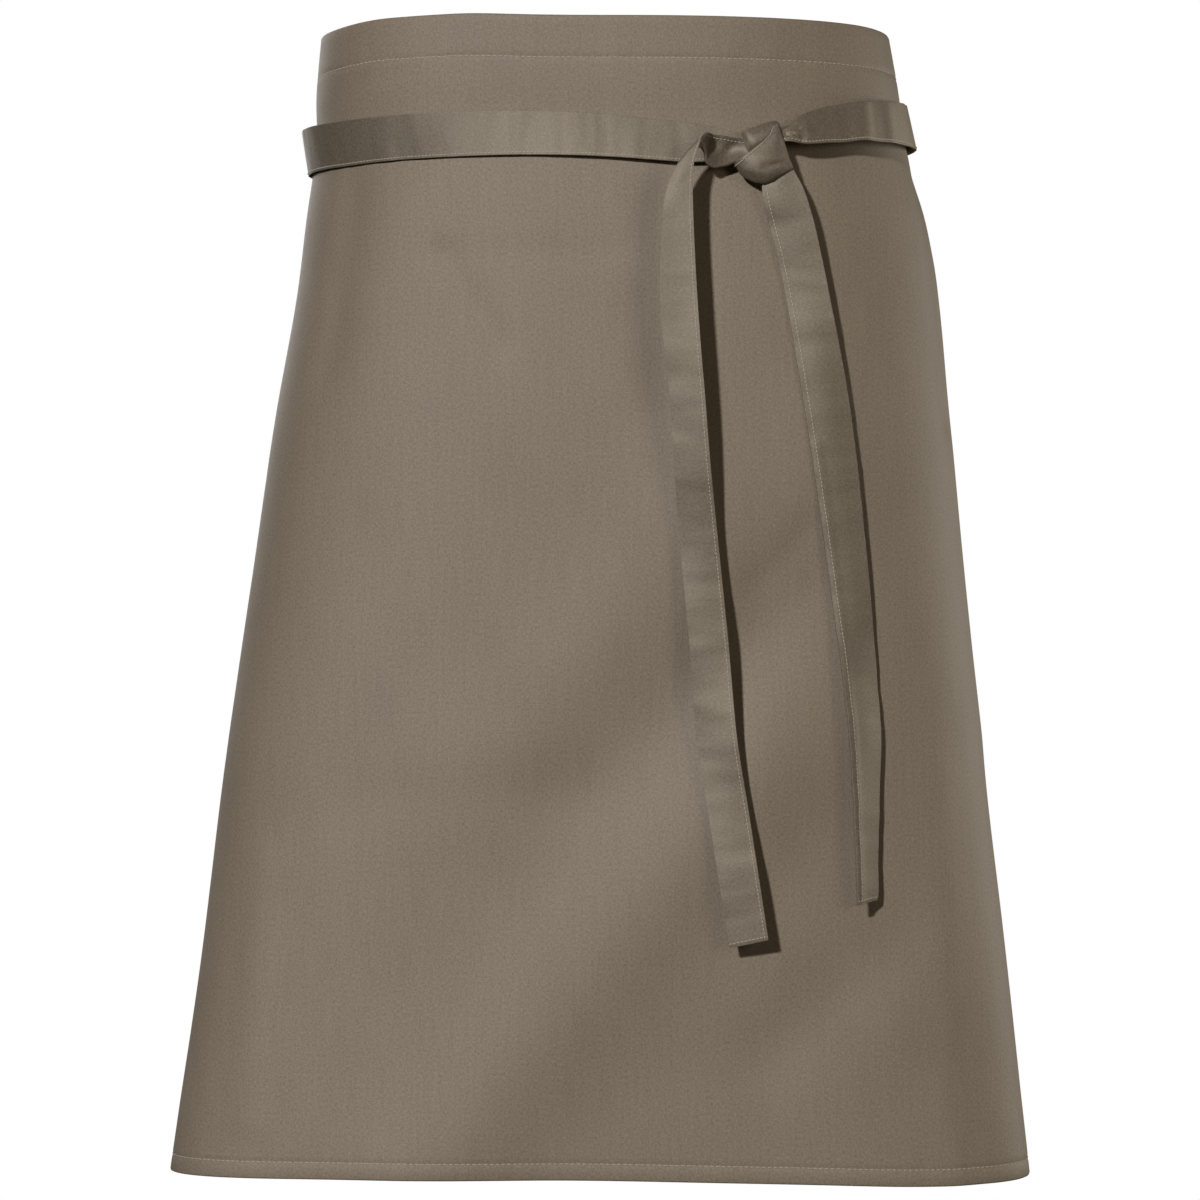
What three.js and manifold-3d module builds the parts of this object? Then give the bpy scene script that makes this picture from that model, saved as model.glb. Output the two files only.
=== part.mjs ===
// A waist apron, worn and tied in front: one rectangular cloth panel with turned
// edges, and two flat ties that cross at the back and are knotted right of centre.
//
// Millimetres, +X to the viewer's right, +Y away from the viewer, +Z up. The origin
// is the centre of the waist, level with the panel's top edge.

import * as THREE from 'three';
import { mergeVertices } from 'three/addons/utils/BufferGeometryUtils.js';
import Module from 'manifold-3d';

// Cloth sizes
const PANEL_WIDTH = 860;
const PANEL_DROP = 686;
const PANEL_WALL = 1.2;
const TURNING_WALL = 1.0;
const PIECE_GAP = 0.3;
const WAISTBAND_DEPTH = 25;
const BOTTOM_HEM_DEPTH = 10;
const SIDE_HEM_DEPTH = 10;
const TIE_WALL = 1.6;

// Mesh steps
const PANEL_COLUMNS = 54;
const PANEL_ROWS = 20;
const BELT_STATIONS = 60;
const TAIL_STATIONS = 26;
const KNOT_STATIONS = 16;
const TIE_STRIPS = 3;
const SECTION_SAMPLES = 360;

// Cloth colours
const CLOTH_COLOUR = 0x81766a;
const TIE_COLOUR = 0x857b6e;

/**
 * Turns rows of numbers into objects with named fields.
 * @param {string[]} columns field names
 * @param {number[][]} rows one list of numbers for each object
 */
function table(columns, rows) {
  return rows.map((row) => Object.fromEntries(columns.map((name, i) => [name, row[i]])));
}

// Plan sections of the worn cloth. Each is a rounded oval whose widest line lies
// "ahead" of the waist's centre, with its own reach to the left, right, front and back.
const SECTIONS = table(
  ['drop', 'left', 'right', 'ahead', 'front', 'back', 'power'],
  [
    [0, 171, 177, 0, 119, 119, 2.5],
    [35, 174, 183, 0, 119, 120, 2.5],
    [65, 174, 187, 0, 118, 121, 2.45],
    [110, 180, 197, 2, 120, 126, 2.4],
    [160, 186, 205, 5, 121, 132, 2.4],
    [232, 198, 212, 11, 118, 136, 2.4],
    [318, 210, 220, 18, 111, 140, 2.4],
    [428, 226, 231, 27, 102, 145, 2.4],
    [540, 239, 244, 36, 92, 148, 2.4],
    [PANEL_DROP, 259, 259, 46, 80, 150, 2.4],
  ],
);

// Soft folds: a ridge (height above zero) or valley along a straight line on the cloth,
// from one point to another. "across" is measured round the cloth from centre front.
const FOLDS = table(
  ['across0', 'drop0', 'across1', 'drop1', 'height', 'reach'],
  [
    [-59, 455, 129, 303, -5, 34],
    [-94, 555, 117, 367, 4, 34],
    [-129, 672, 135, 426, -6, 38],
    [59, 608, 164, 555, -3, 28],
    [-94, 133, 23, 133, -2, 14],
    [-94, 133, -70, 180, -2.5, 18],
    [29, 110, 29, 227, -3, 20],
    [-145, 98, -172, 256, -3, 20],
    [165, 520, 165, PANEL_DROP, 12, 55],
    [240, 95, 250, 230, -4, 14],
    [285, 150, 290, 420, 5, 26],
    [-345, 250, -360, PANEL_DROP, 8, 40],
    [345, 250, 360, PANEL_DROP, 8, 40],
  ],
);

// The ties round the waist. "turn" is the angle round the body from centre front, to the
// right; each tie starts at the far back edge of the panel and comes round its own side.
const BELT_COLUMNS = ['turn', 'drop', 'standoff', 'width'];
const BELT_LEFT = table(BELT_COLUMNS, [
  [-212, 13, 1.8, 24],
  [-206, 14, 3.9, 24],
  [-195, 20, 5, 25],
  [-180, 29, 5.2, 25],
  [-165, 39, 5, 25],
  [-154, 45, 3.9, 25],
  [-144, 51, 2, 25],
  [-130, 58, 1.9, 25],
  [-110, 65, 2, 26],
  [-90, 68, 2.2, 27],
  [-60, 70, 2, 26],
  [-30, 70, 1.8, 25],
  [0, 72, 1.8, 25],
  [22, 75, 2.4, 24],
  [34, 77, 5, 19],
]);
const BELT_RIGHT = table(BELT_COLUMNS, [
  [212, 13, 1.8, 24],
  [204, 15, 1.8, 24],
  [180, 29, 1.8, 25],
  [152, 44, 1.9, 25],
  [135, 50, 1.9, 25],
  [110, 53, 2.2, 26],
  [90, 54, 4, 27],
  [70, 56, 6, 27],
  [60, 61, 6.5, 23],
  [50.5, 68.5, 8, 15],
]);

// Strands in front of the panel. "out" is the clear distance from the panel to the strand's
// middle; "lean" turns the strand's width in the viewer's plane, 0 being level and 90
// upright; "tip" brings the width's far end towards the viewer.
const STRAND_COLUMNS = ['x', 'drop', 'out', 'width', 'lean', 'tip'];
const TAIL_LEFT = table(STRAND_COLUMNS, [
  [74, 81, 13, 16, 88, 0],
  [62, 79, 13.5, 18, 78, 0],
  [53.5, 78.5, 16, 25, 45, 0],
  [49, 90, 19, 20, 8, 0],
  [46, 110, 18.5, 20.5, 0, 0],
  [45.5, 160, 16, 22, -2, 0],
  [51, 225, 13, 23, -3, 0],
  [57.5, 307, 11, 24, -3, 0],
  [68.5, 422, 8, 24.5, -6, 0],
  [87.5, 542, 9, 24, -11, 0],
]);
const TAIL_RIGHT = table(STRAND_COLUMNS, [
  [107, 106, 13, 21, -8, 0],
  [113, 130, 15, 24, -9, 0],
  [122, 170, 14, 25, -8, -5],
  [132, 225, 12, 25.5, -7, -8],
  [144, 310, 10, 25.5, -6, -18],
  [154.5, 422, 10, 25, -2, -44],
  [157, 519, 13, 24, 2, -62],
]);

// The knot's strands: the wrap that lies over everything, the loop tucked behind it at the
// upper left, and the two short necks where the ties run in.
const KNOT_WRAP = table(STRAND_COLUMNS, [
  [103, 76, 4, 11, 10, 0],
  [104, 66, 7, 11, 8, 0],
  [104.5, 66, 13, 12, 5, 0],
  [101, 75, 18, 19, -3, 0],
  [98.5, 86, 19, 27, -6, 0],
  [98.5, 95, 15.5, 29, -7, 0],
  [99.5, 98, 10, 27, -7, 0],
  [101, 92, 5, 22, -7, 0],
]);
const KNOT_LOBE = table(STRAND_COLUMNS, [
  [82, 78, 6, 15, 92, 0],
  [87, 74, 12, 14, 75, 0],
  [95, 72, 13.5, 14, 62, 0],
  [102, 72, 9, 13, 60, 0],
]);
const KNOT_NECK_LEFT = table(STRAND_COLUMNS, [
  [75.6, 80, 12.5, 15, 88, 0],
  [84, 81, 12, 15, 88, 0],
  [96, 82, 11, 16, 88, 0],
]);
const KNOT_NECK_RIGHT = table(STRAND_COLUMNS, [
  [119, 73, 8, 12, 88, 0],
  [112, 74, 9, 13, 86, 0],
  [98, 78, 10, 15, 84, 0],
]);
const KNOT_CORE = { x: 99, drop: 80, out: 10, halfWidth: 14, halfHeight: 14, halfDepth: 6 };

/**
 * Cubic interpolation of one column of a table, with slopes taken from the neighbours.
 * @param {object[]} rows table rows, with the key column rising or falling throughout
 * @param {string} key column that is looked up
 * @param {string} column column that is returned
 * @param {number} at value of the key
 */
function lookUp(rows, key, column, at) {
  const rising = rows[rows.length - 1][key] > rows[0][key] ? 1 : -1;
  let i = 0;
  while (i < rows.length - 2 && (at - rows[i + 1][key]) * rising > 0) i += 1;
  const slope = (k) => {
    const before = rows[Math.max(k - 1, 0)];
    const after = rows[Math.min(k + 1, rows.length - 1)];
    return (after[column] - before[column]) / (after[key] - before[key]);
  };
  const span = rows[i + 1][key] - rows[i][key];
  const t = (at - rows[i][key]) / span;
  const keepFrom = (1 + 2 * t) * (1 - t) ** 2;
  const rise = t * (1 - t) ** 2 * slope(i) - t * t * (1 - t) * slope(i + 1);
  return keepFrom * rows[i][column] + (1 - keepFrom) * rows[i + 1][column] + rise * span;
}

/**
 * The plan section at one height, as points round the body with the length of cloth from
 * centre front to each.
 * @param {number} drop depth below the top edge
 */
function sectionAt(drop) {
  const size = {};
  for (const name of ['left', 'right', 'ahead', 'front', 'back', 'power']) {
    size[name] = lookUp(SECTIONS, 'drop', name, drop);
  }
  const points = [];
  for (let i = -SECTION_SAMPLES; i <= SECTION_SAMPLES; i += 1) {
    const turn = (Math.PI * i) / SECTION_SAMPLES;
    const sideways = Math.abs(Math.sin(turn)) / (turn > 0 ? size.right : size.left);
    const forwards = Math.abs(Math.cos(turn)) / (Math.cos(turn) > 0 ? size.front : size.back);
    const reach = (sideways ** size.power + forwards ** size.power) ** (-1 / size.power);
    points.push(new THREE.Vector2(reach * Math.sin(turn), -size.ahead - reach * Math.cos(turn)));
  }
  const lengths = [0];
  for (let i = 1; i < points.length; i += 1) {
    lengths.push(lengths[i - 1] + points[i].distanceTo(points[i - 1]));
  }
  const front = lengths[SECTION_SAMPLES];
  return { drop, points, lengths: lengths.map((length) => length - front) };
}

const sectionCache = new Map();

/** The section at one height, worked out once. */
function section(drop) {
  if (!sectionCache.has(drop)) sectionCache.set(drop, sectionAt(drop));
  return sectionCache.get(drop);
}

/** Height of all folds together at one point of the cloth. */
function foldHeight(across, drop) {
  let total = 0;
  for (const fold of FOLDS) {
    const from = new THREE.Vector2(fold.across0, fold.drop0);
    const line = new THREE.Vector2(fold.across1, fold.drop1).sub(from);
    const place = new THREE.Vector2(across, drop).sub(from);
    const share = THREE.MathUtils.clamp(place.dot(line) / line.lengthSq(), 0, 1);
    const away = place.distanceTo(line.clone().multiplyScalar(share)) / fold.reach;
    total += fold.height * Math.exp(-away * away);
  }
  return total;
}

/**
 * A point on or off the worn cloth, from its place along the section's list of points.
 * @param {object} cut plan section
 * @param {number} index place in the section's list, with a fraction
 * @param {number} off distance outwards from the cloth's outer face
 */
function pointOnSection(cut, index, off) {
  const last = cut.points.length - 1;
  const i = THREE.MathUtils.clamp(Math.floor(index), 0, last - 1);
  const share = index - i;
  const place = cut.points[i].clone().lerp(cut.points[i + 1], share);
  const across = THREE.MathUtils.lerp(cut.lengths[i], cut.lengths[i + 1], share);
  const before = cut.points[(i - 2 + last) % last];
  const after = cut.points[(i + 3) % last];
  const outwards = new THREE.Vector2(after.y - before.y, before.x - after.x).normalize();
  place.addScaledVector(outwards, foldHeight(across, cut.drop) + off);
  return new THREE.Vector3(place.x, place.y, -cut.drop);
}

/** The index in a rising list where a value lies, with a fraction. */
function indexOf(list, value) {
  let low = 0;
  let high = list.length - 1;
  while (high - low > 1) {
    const middle = (low + high) >> 1;
    if (list[middle] <= value) low = middle;
    else high = middle;
  }
  return low + (value - list[low]) / (list[high] - list[low]);
}

/** A point of the panel, from its flat place on the cloth. */
function clothPoint(across, drop, off) {
  const cut = section(drop);
  return pointOnSection(cut, indexOf(cut.lengths, across), off);
}

/** A point near the waist, from its angle round the body. */
function waistPoint(turn, drop, off) {
  const round = THREE.MathUtils.euclideanModulo(turn + 180, 360);
  return pointOnSection(section(drop), (round / 180) * SECTION_SAMPLES, off);
}

/** A point in front of the panel, straight towards the viewer from the cloth at x. */
function frontPoint(x, drop, out) {
  const cut = section(drop);
  const quarter = SECTION_SAMPLES / 2;
  const frontHalf = cut.points.slice(quarter, 3 * quarter + 1).map((point) => point.x);
  const cloth = pointOnSection(cut, quarter + indexOf(frontHalf, x), 0);
  return new THREE.Vector3(x, cloth.y - out, -drop);
}

/**
 * A closed slab between two grids of points that have the same rows and columns.
 * @param {THREE.Vector3[][]} outer grid of one face
 * @param {THREE.Vector3[][]} inner grid of the other face
 */
function slab(outer, inner) {
  const rows = outer.length;
  const columns = outer[0].length;
  const corners = [...outer.flat(), ...inner.flat()];
  const far = rows * columns;
  const at = (row, column) => row * columns + column;
  const faces = [];
  const quad = (a, b, c, d) => faces.push([a, b, c], [a, c, d]);
  for (let row = 0; row < rows - 1; row += 1) {
    for (let column = 0; column < columns - 1; column += 1) {
      const loop = [at(row, column), at(row + 1, column), at(row + 1, column + 1), at(row, column + 1)];
      quad(...loop);
      const [a, b, c, d] = loop.map((corner) => corner + far);
      faces.push([a, c, b], [a, d, c]);
    }
  }
  const rim = [];
  for (let row = 0; row < rows - 1; row += 1) rim.push(at(row, 0));
  for (let column = 0; column < columns - 1; column += 1) rim.push(at(rows - 1, column));
  for (let row = rows - 1; row > 0; row -= 1) rim.push(at(row, columns - 1));
  for (let column = columns - 1; column > 0; column -= 1) rim.push(at(0, column));
  rim.forEach((corner, i) => {
    const next = rim[(i + 1) % rim.length];
    quad(next, corner, corner + far, next + far);
  });
  return solidFrom(corners, faces);
}

/** A geometry from corners and triangles, turned so that its faces point out. */
function solidFrom(corners, faces) {
  let volume = 0;
  for (const [a, b, c] of faces) {
    volume += corners[a].dot(corners[b].clone().cross(corners[c]));
  }
  const outward = volume > 0 ? faces : faces.map(([a, b, c]) => [a, c, b]);
  const geometry = new THREE.BufferGeometry();
  geometry.setAttribute('position', new THREE.Float32BufferAttribute(
    corners.flatMap((corner) => corner.toArray()), 3));
  geometry.setIndex(outward.flat());
  return geometry;
}

/** Evenly spaced values from one number to another. */
function steps(from, to, count) {
  return Array.from({ length: count + 1 }, (unused, i) => from + ((to - from) * i) / count);
}

/**
 * A patch of cloth between two distances from the panel's outer face.
 * @param {number[]} acrosses places round the cloth
 * @param {number[]} drops places down the cloth
 * @param {number} outside distance of the outer face
 * @param {number} wall thickness
 */
function clothPatch(acrosses, drops, outside, wall) {
  const face = (off) => drops.map((drop) => acrosses.map((across) => clothPoint(across, drop, off)));
  return slab(face(outside), face(outside - wall));
}

/**
 * A tie lying round the waist.
 * @param {object[]} rows belt table
 */
function belt(rows) {
  const face = (extra) => steps(rows[0].turn, rows[rows.length - 1].turn, BELT_STATIONS).map((turn) => {
    const value = (column) => lookUp(rows, 'turn', column, turn);
    const drops = steps(value('drop') - value('width') / 2, value('drop') + value('width') / 2, TIE_STRIPS);
    return drops.map((drop) => waistPoint(turn, drop, value('standoff') + extra));
  });
  return slab(face(TIE_WALL), face(0));
}

/**
 * A flat strand of tie in front of the panel.
 * @param {object[]} rows strand table
 * @param {number} stations number of steps along it
 */
function strand(rows, stations) {
  const numbered = rows.map((row, i) => ({ ...row, i }));
  const centre = (i) => {
    const value = (column) => lookUp(numbered, 'i', column, i);
    return frontPoint(value('x'), value('drop'), value('out'));
  };
  const last = rows.length - 1;
  const nudge = 0.05;
  const face = (extra) => steps(0, last, stations).map((i) => {
    const along = centre(Math.min(i + nudge, last)).sub(centre(Math.max(i - nudge, 0)));
    const lean = THREE.MathUtils.degToRad(lookUp(numbered, 'i', 'lean', i));
    const tip = THREE.MathUtils.degToRad(lookUp(numbered, 'i', 'tip', i));
    const sideways = new THREE.Vector3(
      Math.cos(lean) * Math.cos(tip), -Math.sin(tip), Math.sin(lean) * Math.cos(tip));
    const off = along.cross(sideways).normalize().multiplyScalar(extra);
    const half = lookUp(numbered, 'i', 'width', i) / 2;
    return steps(-half, half, TIE_STRIPS).map((side) => centre(i).addScaledVector(sideways, side).add(off));
  });
  return slab(face(TIE_WALL / 2), face(-TIE_WALL / 2));
}

const wasm = await Module();
wasm.setup();

/** A geometry as a manifold solid, for joining. */
function toManifold(geometry) {
  const merged = mergeVertices(geometry);
  return new wasm.Manifold(new wasm.Mesh({
    numProp: 3,
    vertProperties: new Float32Array(merged.getAttribute('position').array),
    triVerts: new Uint32Array(merged.index.array),
  }));
}

/** Several geometries joined into one. */
function joined(geometries) {
  const mesh = geometries.map(toManifold).reduce((sum, next) => sum.add(next)).getMesh();
  const geometry = new THREE.BufferGeometry();
  geometry.setAttribute('position', new THREE.BufferAttribute(new Float32Array(mesh.vertProperties), 3));
  geometry.setIndex(new THREE.BufferAttribute(new Uint32Array(mesh.triVerts), 1));
  return geometry;
}

/** The tied lump: strands of both ties pulled into one another. */
function knot() {
  const core = new THREE.SphereGeometry(1, 16, 10);
  core.deleteAttribute('normal');
  core.deleteAttribute('uv');
  core.scale(KNOT_CORE.halfWidth, KNOT_CORE.halfDepth, KNOT_CORE.halfHeight);
  const middle = frontPoint(KNOT_CORE.x, KNOT_CORE.drop, KNOT_CORE.out);
  core.translate(middle.x, middle.y, middle.z);
  const strands = [KNOT_WRAP, KNOT_LOBE, KNOT_NECK_LEFT, KNOT_NECK_RIGHT];
  return joined([core, ...strands.map((rows) => strand(rows, KNOT_STATIONS))]);
}

/** A named piece of cloth. */
function piece(name, geometry, color) {
  const mesh = new THREE.Mesh(geometry, new THREE.MeshStandardMaterial({ color, roughness: 0.85, metalness: 0 }));
  mesh.name = name;
  return mesh;
}

// Places round and down the panel, shared by the panel and its turned edges
const half = PANEL_WIDTH / 2;
const sideHem = half - SIDE_HEM_DEPTH;
const acrosses = [-half, ...steps(-sideHem, sideHem, PANEL_COLUMNS), half];
const hemTop = PANEL_DROP - BOTTOM_HEM_DEPTH;
const drops = [0, WAISTBAND_DEPTH / 2, ...steps(WAISTBAND_DEPTH, hemTop, PANEL_ROWS), PANEL_DROP];
const sideDrops = steps(WAISTBAND_DEPTH, hemTop, PANEL_ROWS);
sideDrops[0] += PIECE_GAP;
sideDrops[PANEL_ROWS] -= PIECE_GAP;
const turningFace = -PANEL_WALL - PIECE_GAP;

const apron = new THREE.Group();
apron.name = 'waist_apron';
apron.add(
  piece('skirt_panel', clothPatch(acrosses, drops, 0, PANEL_WALL), CLOTH_COLOUR),
  piece('waistband', clothPatch(acrosses, drops.slice(0, 3), turningFace, TURNING_WALL), CLOTH_COLOUR),
  piece('bottom_hem', clothPatch(acrosses, drops.slice(-2), turningFace, TURNING_WALL), CLOTH_COLOUR),
  piece('side_hem_left', clothPatch(acrosses.slice(0, 2), sideDrops, turningFace, TURNING_WALL), CLOTH_COLOUR),
  piece('side_hem_right', clothPatch(acrosses.slice(-2), sideDrops, turningFace, TURNING_WALL), CLOTH_COLOUR),
  piece('belt_left', belt(BELT_LEFT), TIE_COLOUR),
  piece('belt_right', belt(BELT_RIGHT), TIE_COLOUR),
  piece('knot', knot(), TIE_COLOUR),
  piece('tail_left', strand(TAIL_LEFT, TAIL_STATIONS), TIE_COLOUR),
  piece('tail_right', strand(TAIL_RIGHT, TAIL_STATIONS), TIE_COLOUR),
);

export default apron;
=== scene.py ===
"""A waist apron, worn and tied in front, dressed as pressed cotton twill.

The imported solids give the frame. The panel, the ties and the knot are made here as
cloth: grids that are laid over the same worn shape, with turned edges, seams and thread.
Tables are in millimetres, as in the part's source; objects are in metres.
"""

import logging
import math
from dataclasses import dataclass, field
from enum import Enum
from typing import Sequence

import bmesh
import bpy
import numpy as np
from mathutils import Matrix, Vector, noise


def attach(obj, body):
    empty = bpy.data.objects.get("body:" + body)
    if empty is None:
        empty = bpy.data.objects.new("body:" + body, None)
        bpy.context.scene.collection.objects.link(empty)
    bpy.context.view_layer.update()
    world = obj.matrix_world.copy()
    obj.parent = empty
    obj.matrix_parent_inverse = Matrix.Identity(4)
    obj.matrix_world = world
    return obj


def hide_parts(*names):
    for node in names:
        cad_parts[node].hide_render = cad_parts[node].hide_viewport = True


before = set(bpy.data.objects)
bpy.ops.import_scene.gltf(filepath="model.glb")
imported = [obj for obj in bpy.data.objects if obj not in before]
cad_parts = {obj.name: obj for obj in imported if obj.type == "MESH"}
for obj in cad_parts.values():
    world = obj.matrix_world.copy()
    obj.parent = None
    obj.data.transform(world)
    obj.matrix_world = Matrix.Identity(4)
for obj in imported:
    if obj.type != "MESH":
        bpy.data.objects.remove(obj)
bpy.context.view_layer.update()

MM = 0.001
UV_NAME = "cloth"

Color = tuple[float, float, float]
Net = Sequence[Sequence[tuple[float, float, float]]]

log = logging.getLogger("apron")


class Slot(Enum):
    """The record's material slots."""

    TWILL = "twill"
    TIE = "tie_twill"
    THREAD = "thread"


@dataclass(frozen=True)
class PlanSection:
    """One level cut through the worn cloth, in millimetres.

    The widest line lies `ahead` of the waist's centre, and the oval reaches from there
    to the left, right, front and back. `power` makes it squarer above 2.
    """

    drop: float
    left: float
    right: float
    ahead: float
    front: float
    back: float
    power: float


@dataclass(frozen=True)
class Fold:
    """A soft ridge, or a valley where height is below zero, along a line on the cloth."""

    across0: float
    drop0: float
    across1: float
    drop1: float
    height: float
    reach: float


@dataclass(frozen=True)
class BeltStation:
    """A place on a tie that lies round the waist.

    `turn` is the angle from centre front in degrees, `drop` the depth of the tie's middle,
    and `upper` and `lower` are how far its two edges stand off the cloth.
    """

    turn: float
    drop: float
    upper: float
    lower: float
    width: float


PANEL_DROP = 686.0

SECTIONS = (
    PlanSection(0, 171, 177, 0, 119, 119, 2.5),
    PlanSection(35, 174, 183, 0, 119, 120, 2.5),
    PlanSection(65, 174, 187, 0, 118, 121, 2.45),
    PlanSection(110, 180, 200, 2, 120, 126, 2.4),
    PlanSection(160, 186, 207, 5, 121, 132, 2.4),
    PlanSection(232, 198, 213, 11, 118, 136, 2.4),
    PlanSection(318, 210, 220, 18, 111, 140, 2.4),
    PlanSection(428, 225.5, 231.2, 27, 102, 145, 2.4),
    PlanSection(540, 239, 243.6, 36, 92, 148, 2.4),
    PlanSection(PANEL_DROP, 259, 259, 46, 80, 150, 2.4),
)

FOLDS = (
    Fold(50, 305, -75, 455, 3.5, 40),
    Fold(105, 357, -10, 455, -3.2, 33),
    Fold(-10, 455, -140, 462, -1.2, 20),
    Fold(130, 312, 70, 385, -2.2, 25),
    Fold(128, 225, 128, 300, 2.5, 26),
    Fold(90, 440, -105, PANEL_DROP, 8, 44),
    Fold(92, 334, 126, 298, -0.9, 9),
    Fold(100, 610, 175, 545, -3, 26),
    Fold(-94, 139, 10, 138, -0.8, 9),
    Fold(-94, 139, -60, 192, -2, 9),
    Fold(40, 112, 40, 227, -2.5, 18),
    Fold(-156, 98, -172, 205, -2.2, 15),
    Fold(190, 560, 195, PANEL_DROP, 1.5, 40),
    Fold(207, 440, 214, PANEL_DROP, 1.3, 13),
    Fold(-206, 500, -212, 650, 1.6, 14),
    Fold(-172, 40, -150, 34, -0.8, 5),
    Fold(-135, 36, -115, 31, -0.7, 5),
    Fold(240, 95, 250, 230, -4, 14),
    Fold(285, 150, 290, 420, 1.5, 26),
    Fold(-345, 250, -360, PANEL_DROP, 8, 40),
    Fold(345, 250, 360, PANEL_DROP, 8, 40),
)

SAGS = (
    Fold(-130, 12, -88, 12, -3.2, 40),
    Fold(-20, 12, 160, 12, -1.4, 60),
    Fold(-90, PANEL_DROP, -40, PANEL_DROP, -3.4, 125),
    Fold(215, PANEL_DROP, 240, PANEL_DROP, 3.2, 78),
)


def look_up(rows: Sequence[object], key: str, column: str, at: float) -> float:
    """Interpolates one field of a table, with slopes taken from the neighbours.

    Args:
        rows: Table rows, with the key field rising throughout.
        key: Field that is looked up.
        column: Field that is returned.
        at: Value of the key.

    Returns:
        The field's value there.
    """
    keys = [getattr(row, key) for row in rows]
    values = [getattr(row, column) for row in rows]
    last = len(rows) - 1
    i = 0
    while i < last - 1 and at > keys[i + 1]:
        i += 1

    def slope(k: int) -> float:
        """The slope at one row."""
        before, after = max(k - 1, 0), min(k + 1, last)
        return (values[after] - values[before]) / (keys[after] - keys[before])

    span = keys[i + 1] - keys[i]
    t = (at - keys[i]) / span
    keep = (1 + 2 * t) * (1 - t) ** 2
    rise = t * (1 - t) ** 2 * slope(i) - t * t * (1 - t) * slope(i + 1)
    return keep * values[i] + (1 - keep) * values[i + 1] + rise * span


def fold_height(folds: Sequence[Fold], across: np.ndarray,
                drop: np.ndarray | float) -> np.ndarray:
    """Adds up folds over places on a cloth.

    Args:
        folds: The folds.
        across: First flat coordinate of the places.
        drop: Second flat coordinate.

    Returns:
        The height at each place.
    """
    total = np.zeros_like(across, dtype=float)
    for fold in folds:
        run = fold.across1 - fold.across0
        fall = fold.drop1 - fold.drop0
        aside, below = across - fold.across0, drop - fold.drop0
        share = np.clip((aside * run + below * fall) / (run * run + fall * fall), 0, 1)
        away2 = (aside - share * run) ** 2 + (below - share * fall) ** 2
        total += fold.height * np.exp(-away2 / fold.reach ** 2)
    return total


def lengths_along(line: np.ndarray) -> np.ndarray:
    """Gives the length along a line of points up to each of them."""
    steps = np.linalg.norm(np.diff(line, axis=0), axis=1)
    return np.concatenate([[0.0], np.cumsum(steps)])


def waves(first: np.ndarray, second: float, third: float) -> np.ndarray:
    """Gives smooth noise at places along a line."""
    return np.array([noise.noise(Vector((place, second, third))) for place in first])


@dataclass
class Cut:
    """A worked-out level cut: its points, outward directions and lengths from centre front."""

    drop: float
    points: np.ndarray
    outwards: np.ndarray
    lengths: np.ndarray


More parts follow.
